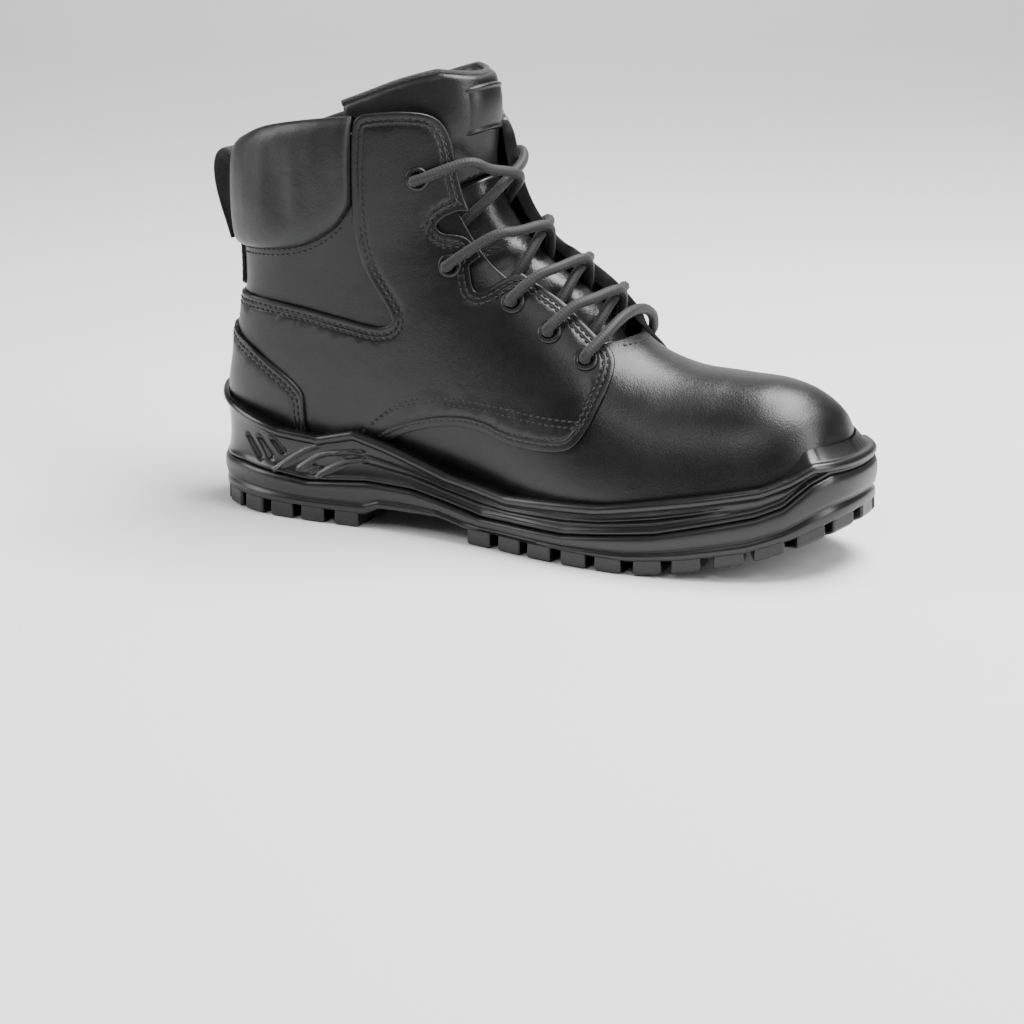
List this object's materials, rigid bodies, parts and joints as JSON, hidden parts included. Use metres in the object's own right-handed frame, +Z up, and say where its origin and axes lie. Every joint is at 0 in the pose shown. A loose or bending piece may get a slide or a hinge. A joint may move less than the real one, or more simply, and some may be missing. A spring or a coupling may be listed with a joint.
{
  "type": "safety work boot",
  "caption": "Ankle-high lace-up safety work boot for the right foot, in black leather with a steel toe cap, a padded collar and a lugged rubber sole.",
  "frame": {"origin": "on the ground, under the middle of the boot's bounding box", "axes": "+X towards the toe, +Y towards the inner (medial) side, +Z up"},
  "size_m": [0.31, 0.1057, 0.196],
  "materials": {
    "black_leather": "semi-matt full grain, lightly creased",
    "mesh_cloth": "open spacer mesh, dark grey",
    "rubber": "moulded, satin",
    "polyurethane": "moulded foam with a smooth skin, satin",
    "steel": "pressed sheet",
    "fibre_board": "pressed fibre",
    "footbed_foam": "cloth-topped foam",
    "lace_cord": "round braid, matt",
    "aglet_plastic": "gloss",
    "eyelet_metal": "black enamel on brass",
    "webbing": "flat woven tape"
  },
  "bodies": {
    "boot": {"ankle_panel_lateral": "black_leather", "ankle_panel_medial": "black_leather", "backstay": "black_leather", "eyelet_lateral_1": "eyelet_metal", "eyelet_lateral_2": "eyelet_metal", "eyelet_lateral_3": "eyelet_metal", "eyelet_lateral_4": "eyelet_metal", "eyelet_lateral_5": "eyelet_metal", "eyelet_medial_1": "eyelet_metal", "eyelet_medial_2": "eyelet_metal", "eyelet_medial_3": "eyelet_metal", "eyelet_medial_4": "eyelet_metal", "eyelet_medial_5": "eyelet_metal", "facing_underlay_lateral": "black_leather", "facing_underlay_medial": "black_leather", "heel_counter_patch": "black_leather", "heel_stiffener": "fibre_board", "insole_board": "fibre_board", "lace": "lace_cord", "lace_aglet_lateral": "aglet_plastic", "lace_aglet_medial": "aglet_plastic", "midsole": "polyurethane", "outsole": "rubber", "padded_collar": "black_leather", "pull_loop": "webbing", "puncture_plate": "steel", "quarter_lateral": "black_leather", "quarter_lining_lateral": "mesh_cloth", "quarter_lining_medial": "mesh_cloth", "quarter_medial": "black_leather", "shank": "steel", "steel_toe_cap": "steel", "vamp": "black_leather", "vamp_lining": "mesh_cloth"},
    "tongue": {"tongue_lower": "black_leather", "tongue_pad": "black_leather", "tongue_patch": "black_leather"},
    "footbed": {"footbed": "footbed_foam"}
  },
  "joints": [
    {"name": "tongue_tilt", "type": "hinge", "parent": "boot", "child": "tongue", "pos_m": [0.0535, 0, 0.079], "axis": [0, 1, 0], "range_deg": [-12, 0]},
    {"name": "footbed_lift", "type": "hinge", "parent": "boot", "child": "footbed", "pos_m": [0.1435, 0, 0.029], "axis": [0, 1, 0], "range_deg": [0, 6]}
  ]
}
